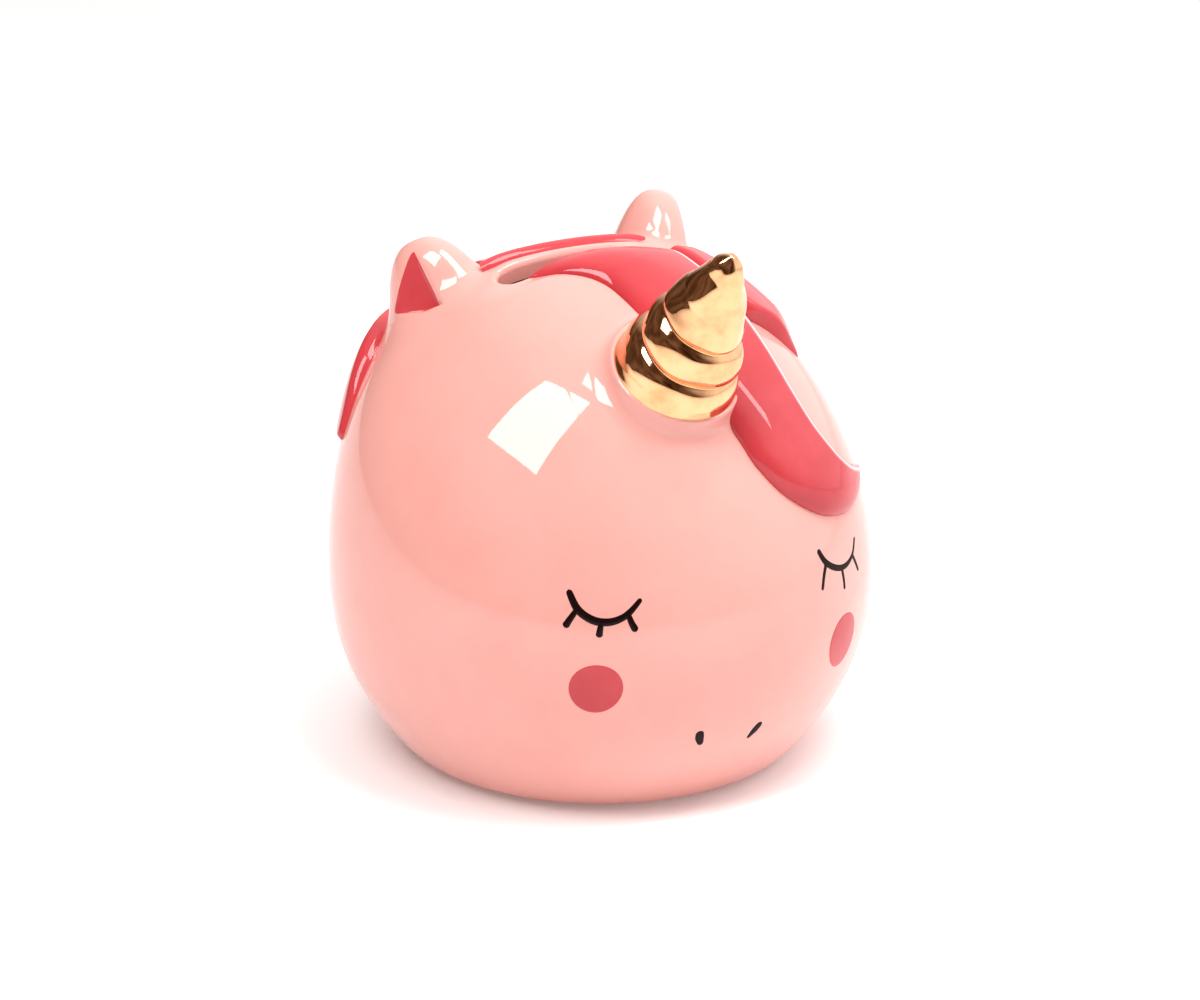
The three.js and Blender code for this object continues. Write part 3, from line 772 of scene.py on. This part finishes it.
def lock_of_hair(edges, side=1, front_bevels=(2.6, 2.6), back_bevel=2.2, shared=0.0, root=1.0, tip=0.35,
                 broken=0.0):
    """A band of clay on the skin, softly rounded at its edges, thinner at its root and tip.

    Shared is how high, as a share of the relief, edges stay at the root where locks lie side by side.
    Returns the band and, per point, how strongly a pale line is painted: where asked, a painted highlight
    along the crest some bevels in from the back edge, which also stands for glaze running thin there.
    """
    rows, columns = count(170), count(64)
    along = crowded(rows, 0.35)
    front, back = (smooth_curve(edge, along) * (side, 1, 1) for edge in edges)
    across = crowded(columns)
    aims = front[:, None] + (back - front)[:, None] * across[None, :, None]
    skin = cast(head_field, CENTRE, unit(aims - CENTRE), SKIN_NEAR, SKIN_FAR)
    width = np.linalg.norm(back - front, axis=-1)[:, None]
    middle = (front + back) / 2
    run = np.concatenate([[0], np.cumsum(np.linalg.norm(np.diff(middle, axis=0), axis=-1))])[:, None]
    edge = shared * (1 - smoothstep(*HAIR_PARTS, run))
    from_front, from_back = width * across, width * (1 - across)
    front_change = smoothstep(*HAIR_FRONT_CHANGES, run)
    front_bevel = front_bevels[0] + (front_bevels[1] - front_bevels[0]) * front_change
    shape = edge + (1 - edge) * bevel(from_front, front_bevel) * bevel(from_back, back_bevel)
    shape = shape * bevel(run, HAIR_END_BEVEL) * bevel(run[-1] - run, HAIR_END_BEVEL)
    relief = HAIR_RELIEF * (root + (1 - root) * smoothstep(*HAIR_ROOT_RISES, run))
    relief = relief * (tip + (1 - tip) * smoothstep(0, HAIR_TIP_SHARE, 1 - run / run[-1]))
    lift = (relief + HAIR_SUNK) * shape - HAIR_SUNK
    normal = gradient(head_field, skin)
    # A painted highlight: a pale line along the crest just past the back edge, also standing for thin
    # glaze.
    thin = broken * np.exp(-((from_back - CREST_HIGHLIGHT_BEVELS * back_bevel) / CREST_HIGHLIGHT_REACH) ** 2)
    top = skin + normal * lift[..., None]
    bed = skin - normal * (HAIR_SUNK + HAIR_BED)
    return slab(top, bed), np.concatenate([np.broadcast_to(thin, lift.shape), 0 * lift], axis=1).ravel()


# ---------------------------------------------------------------- painted face

def skin_at(azimuth, height):
    """The point of the skin at an azimuth in degrees from the face, towards +X, and a height."""
    turn = np.radians(azimuth)
    origins = np.stack([0 * turn, 0 * turn, height + 0 * turn], -1)
    directions = np.stack([np.sin(turn), -np.cos(turn), 0 * turn], -1)
    return cast(head_field, origins, directions, 5, 110)


def stroke(knots, widths, rows=60):
    """A brush stroke along knots of (azimuth, height), as a thin lens of enamel on the skin."""
    samples = np.linspace(0, 1, count(rows))
    places = smooth_curve(knots, samples)
    spine = skin_at(places[:, 0], places[:, 1])
    normal = gradient(head_field, spine)
    side = unit(np.cross(normal, np.gradient(spine, axis=0)))
    length = np.linalg.norm(np.diff(spine, axis=0), axis=-1).sum()
    half = np.interp(samples, np.linspace(0, 1, len(widths)), widths) / 2
    tail = np.minimum(samples, 1 - samples) * length
    half = half * np.sqrt(1 - (1 - np.clip(tail / half, 0, 1)) ** 2 * ALMOST_ONE)
    across = np.linspace(-1, 1, count(12) + 1)
    reach = spine[:, None] + side[:, None] * (half[:, None] * across)[..., None]
    lifted = PAINT_LIFT * np.sqrt(1 - across ** 2 * ALMOST_ONE)
    sheer = smooth_skin(reach)
    normals = gradient(head_field, sheer)
    return slab(sheer + normals * lifted[None, :, None], sheer - normals * PAINT_SUNK)


def smooth_skin(points):
    """Points pulled on to the skin along the ray from the head's centre."""
    return cast(head_field, CENTRE, unit(points - CENTRE), SKIN_NEAR, SKIN_FAR)


def dab(azimuth, height, radius, wobble):
    """A round dab of glaze on the skin, slightly out of true."""
    centre = skin_at(np.array([float(azimuth)]), height)[0]
    outward = gradient(head_field, centre)
    right = unit(np.cross([0, 0, 1], outward))
    up = np.cross(outward, right)
    angle = circle(120)
    edge = radius * (1 + wobble * np.sin(2 * angle + azimuth) + 0.6 * wobble * np.sin(3 * angle))
    parts = rim_parts(8)
    spread = (edge * np.cos(angle))[:, None] * right + (edge * np.sin(angle))[:, None] * up
    skin = smooth_skin(centre + parts[:, None, None] * spread)
    return paint_patch(skin, gradient(head_field, skin), parts)


# Places on the face are (azimuth from the face in degrees, towards the animal's left; height above the
# table). An eye is its arc and the arc's widths, then its lashes and their widths. A cheek is its place
# and radius, and a nostril its stroke and the stroke's widths.
EYES = {
    "eye_right": (
        [(-36.6, 62.2), (-34.6, 57.9), (-31.9, 55.6), (-29.3, 54.9), (-26.8, 55.3), (-24.4, 56.8),
         (-21.7, 60.0)],
        (1.5, 1.9, 1.95, 1.9, 1.75, 1.55, 1.1),
        [[(-34.6, 57.9), (-36.0, 55.6), (-37.1, 53.6)],
         [(-29.8, 55.0), (-30.1, 53.0), (-30.3, 51.4)],
         [(-24.5, 56.8), (-23.9, 54.8), (-22.9, 52.6)]],
        (1.25, 1.5, 1.75),
    ),
    "eye_left": (
        [(22.7, 62.3), (24.3, 59.0), (27.0, 56.7), (30.2, 55.4), (33.4, 55.4), (36.4, 56.6), (39.2, 59.6)],
        (1.5, 1.75, 1.65, 1.5, 1.3, 1.0, 0.9),
        [[(24.6, 58.6), (23.0, 55.8), (21.8, 52.8)],
         [(30.2, 55.2), (30.3, 52.6), (30.2, 50.0)],
         [(35.8, 56.8), (37.0, 54.2), (38.0, 51.6)]],
        (1.25, 1.15, 1.05),
    ),
}
CHEEKS = {"cheek_right": (-30.9, 38.6, 6.3), "cheek_left": (30.0, 37.0, 6.8)}
NOSTRILS = {
    "nostril_right": ([(-8.9, 24.9), (-8.7, 22.8), (-8.1, 20.5)], (2.0, 2.3, 1.3)),
    "nostril_left": ([(6.4, 23.4), (5.0, 21.2), (3.8, 19.3)], (2.0, 2.1, 0.9)),
}


# ---------------------------------------------------------------- stopper

def stopper():
    """The flanged hollow plug with its grip bar, all edges softened."""
    low, high = (np.array(corner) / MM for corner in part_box("stopper"))
    flange_r = high[0]
    bottom, top = low[2] + GRIP_H, high[2]
    seat = bottom + FLANGE_H
    bore_r = PLUG_R - PLUG_WALL
    profile = [(0.3, bottom), (flange_r - 0.7, bottom), (flange_r - 0.2, bottom + 0.2),
               (flange_r, bottom + 0.7), (flange_r, seat - 0.3), (flange_r - 0.3, seat),
               (PLUG_R + 0.3, seat), (PLUG_R, seat + 0.3), (PLUG_R, top - 1.4), (PLUG_R - 0.4, top - 0.4),
               (PLUG_R - 1.1, top), (bore_r + 0.3, top), (bore_r, top - 0.3), (bore_r, seat + 0.8),
               (bore_r - 0.8, seat + 0.05), (0.3, seat)]
    angle = circle(128)
    rings = [np.stack([r * np.cos(angle), r * np.sin(angle), 0 * angle + z], -1) for r, z in profile]
    grip_rows = np.linspace(-1, 1, count(24))
    turn = circle(20)
    bar = []
    for place in grip_rows:
        fullness = (1 - abs(place) ** 6 * ALMOST_ONE) ** 0.5
        bar.append(np.stack([0 * turn + GRIP_REACH * place, GRIP_HALF_WIDTH * fullness * np.cos(turn),
                             bottom + GRIP_H * fullness * np.sin(turn)], -1))
    return [loft(rings), loft(bar)]


# ---------------------------------------------------------------- the pieces

def add_lock(name, edges, **shape):
    """One lock in hair glaze, with the strength of its painted crest highlight, which also stands for thin
    glaze, stored on its points.
    """
    band, thin = lock_of_hair(edges, **shape)
    add_mesh(f"{name}_glazed", [band], HAIR, name, thin=thin)


add_mesh("body_shell_glazed", [body_shell(), horn_collar()], SKIN, "body_shell")
for name, ear in EARS.items():
    add_mesh(f"{name}_glazed", [ear_body(ear)], SKIN, name)
    add_mesh(f"{name}_lining", [ear_lining(ear)], HAIR, None)
add_mesh("horn_gilded", [horn()], GOLD, "horn", sharp=math.radians(70))
# Only the forelock gets the pale crest line, a painted highlight that also stands for thin glaze.
add_lock("forelock", FORELOCK, front_bevels=(18, 8.5), back_bevel=1.3, root=0.8, tip=0.5, broken=0.9)
add_lock("side_lock", SIDE_LOCK, tip=0.15)
add_lock("mane_middle", MANE_MIDDLE, shared=1.0, root=0.68)
for side_name, side in (("right", -1), ("left", 1)):
    add_lock(f"mane_inner_{side_name}", MANE_INNER, side=side, shared=1.0, root=0.68)
    add_lock(f"mane_outer_{side_name}", MANE_OUTER, side=side, shared=1.0, root=0.68)
for name, (arc, arc_widths, lashes, lash_widths) in EYES.items():
    lines = [stroke(arc, arc_widths, 90)] + [stroke(lash, lash_widths) for lash in lashes]
    add_mesh(name, lines, INK, None)
for name, (azimuth, height, radius) in CHEEKS.items():
    add_mesh(name, [dab(azimuth, height, radius, 0.02)], HAIR, None)
for name, (knots, widths) in NOSTRILS.items():
    add_mesh(name, [stroke(knots, widths)], INK, None)
add_mesh("stopper_moulded", stopper(), RUBBER, "stopper", body="stopper")


# ---------------------------------------------------------------- stage, light and camera

CLUTTER_NOISE = (0.35, 0.65)
CLUTTER_GLOW = (0.3, 2)
FLOOR_REACH = 3.0
FLOOR_GAP = 0.1 * MM
CAMERA_DIRECTION = (-30, 20)
CAMERA_DISTANCE = 0.816
CAMERA_RAISED = 0.0151
CAMERA_MOVED_LEFT = 0.0001
CAMERA_LENS = 97.8
LIGHT_TARGET = Vector((0, 0, 0.07))
WINDOW_CORNERS = [(-0.38, -0.25), (-0.08, 0.29), (0.29, 0.35), (0.11, -0.33)]


def add_floor():
    """A large sheet of white paper, a hair below the foot."""
    mesh = bpy.data.meshes.new("floor")
    reach = FLOOR_REACH
    corners = [(-reach, -reach), (reach, -reach), (reach, reach), (-reach, reach)]
    mesh.from_pydata([(x, y, -FLOOR_GAP) for x, y in corners], [], [(0, 1, 2, 3)])
    floor = bpy.data.objects.new("floor", mesh)
    bpy.context.scene.collection.objects.link(floor)
    material, _, shader = new_material("floor_paper")
    shader.inputs["Base Color"].default_value = (0.9, 0.9, 0.9, 1)
    shader.inputs["Roughness"].default_value = 0.8
    shader.inputs["Emission Color"].default_value = (1, 1, 1, 1)
    shader.inputs["Emission Strength"].default_value = 0.14
    mesh.materials.append(material)


def direction_to(azimuth, elevation):
    """The unit vector away from the bank at an azimuth from the face and an elevation, in degrees."""
    turn, rise = math.radians(azimuth), math.radians(elevation)
    return Vector((math.sin(turn) * math.cos(rise), -math.cos(turn) * math.cos(rise), math.sin(rise)))


def add_window(name, direction, distance, corners, radiance):
    """A four-cornered glowing panel that faces the bank, its corners in metres across and up its plane."""
    back = direction_to(*direction)
    across = Vector((0, 0, 1)).cross(back).normalized()
    upward = back.cross(across)
    middle = LIGHT_TARGET + back * distance
    mesh = bpy.data.meshes.new(name)
    mesh.from_pydata([middle + across * x + upward * y for x, y in corners], [], [(0, 1, 2, 3)])
    panel = bpy.data.objects.new(name, mesh)
    panel.visible_camera = False
    bpy.context.scene.collection.objects.link(panel)
    material, _, shader = new_material(f"{name}_glow")
    shader.inputs["Base Color"].default_value = (0, 0, 0, 1)
    shader.inputs["Emission Color"].default_value = (1, 1, 1, 1)
    shader.inputs["Emission Strength"].default_value = radiance
    mesh.materials.append(material)


def add_softbox(name, direction, distance, size, power):
    """A rectangular light that faces the bank from a direction (azimuth from the face, elevation)."""
    back = direction_to(*direction)
    light = bpy.data.lights.new(name, "AREA")
    light.shape = "RECTANGLE"
    light.size, light.size_y = size
    light.energy = power
    lamp = bpy.data.objects.new(name, light)
    lamp.location = LIGHT_TARGET + back * distance
    lamp.rotation_euler = back.to_track_quat("Z", "Y").to_euler()
    bpy.context.scene.collection.objects.link(lamp)


def set_range(node, *limits):
    """Set a Map Range node's limits: from low, from high, to low, to high."""
    for socket, value in zip(("From Min", "From Max", "To Min", "To Max"), limits):
        node.inputs[socket].default_value = value


def add_world(dark, bright, towards, fade):
    """A dim, cluttered room, warm in its dark parts, that brightens towards one direction.

    Fade is the range of how squarely a ray faces that direction over which dark turns to bright.
    """
    world = bpy.data.worlds.new("studio")
    bpy.context.scene.world = world
    world.use_nodes = True
    tree = world.node_tree
    place = add_node(tree, "ShaderNodeTexCoord")
    facing = add_node(tree, "ShaderNodeVectorMath", operation="DOT_PRODUCT")
    facing.inputs[1].default_value = unit(towards)
    tree.links.new(place.outputs["Generated"], facing.inputs[0])
    share = add_node(tree, "ShaderNodeMapRange", interpolation_type="SMOOTHSTEP")
    set_range(share, *fade, dark, bright)
    tree.links.new(facing.outputs["Value"], share.inputs["Value"])
    clutter = add_node(tree, "ShaderNodeTexNoise", Scale=2.2, Detail=4.0)
    tree.links.new(place.outputs["Generated"], clutter.inputs["Vector"])
    shade = add_node(tree, "ShaderNodeMapRange")
    set_range(shade, *CLUTTER_NOISE, CLUTTER_GLOW[0] * dark, CLUTTER_GLOW[1] * dark)
    tree.links.new(clutter.outputs["Fac"], shade.inputs["Value"])
    tree.links.new(shade.outputs["Result"], share.inputs["To Min"])
    tree.links.new(share.outputs["Result"], tree.nodes["Background"].inputs["Strength"])
    tint = ramp(tree, share.outputs["Result"], [(0.1, (1.0, 0.6, 0.38)), (0.45, (1.0, 1.0, 1.0))])
    tree.links.new(tint.outputs["Color"], tree.nodes["Background"].inputs["Color"])


def add_camera():
    """The camera looks down 20 degrees from 30 degrees to the animal's right."""
    back = direction_to(*CAMERA_DIRECTION)
    right = Vector((0, 0, 1)).cross(back).normalized()
    up = back.cross(right)
    camera = bpy.data.objects.new("camera", bpy.data.cameras.new("camera"))
    camera.location = Vector((0, 0, EQUATOR_Z * MM)) + back * CAMERA_DISTANCE
    camera.location += up * CAMERA_RAISED - right * CAMERA_MOVED_LEFT
    camera.rotation_euler = back.to_track_quat("Z", "Y").to_euler()
    camera.data.sensor_width = 36
    camera.data.lens = CAMERA_LENS
    camera.data.clip_start = 0.01
    bpy.context.scene.collection.objects.link(camera)
    bpy.context.scene.camera = camera


add_floor()
add_world(dark=0.1, bright=1.22, towards=(0.85, 0.1, 0.52), fade=(0.1, 0.8))
add_window("key_window", direction=(-66, 60), distance=1.2, corners=WINDOW_CORNERS, radiance=11.5)
add_softbox("top_softbox", direction=(30, 73), distance=1.3, size=(0.5, 0.5), power=8)
add_softbox("side_softbox", direction=(66, 42), distance=1.3, size=(0.22, 0.36), power=1.9)
add_camera()
bpy.context.scene.view_settings.view_transform = "Standard"
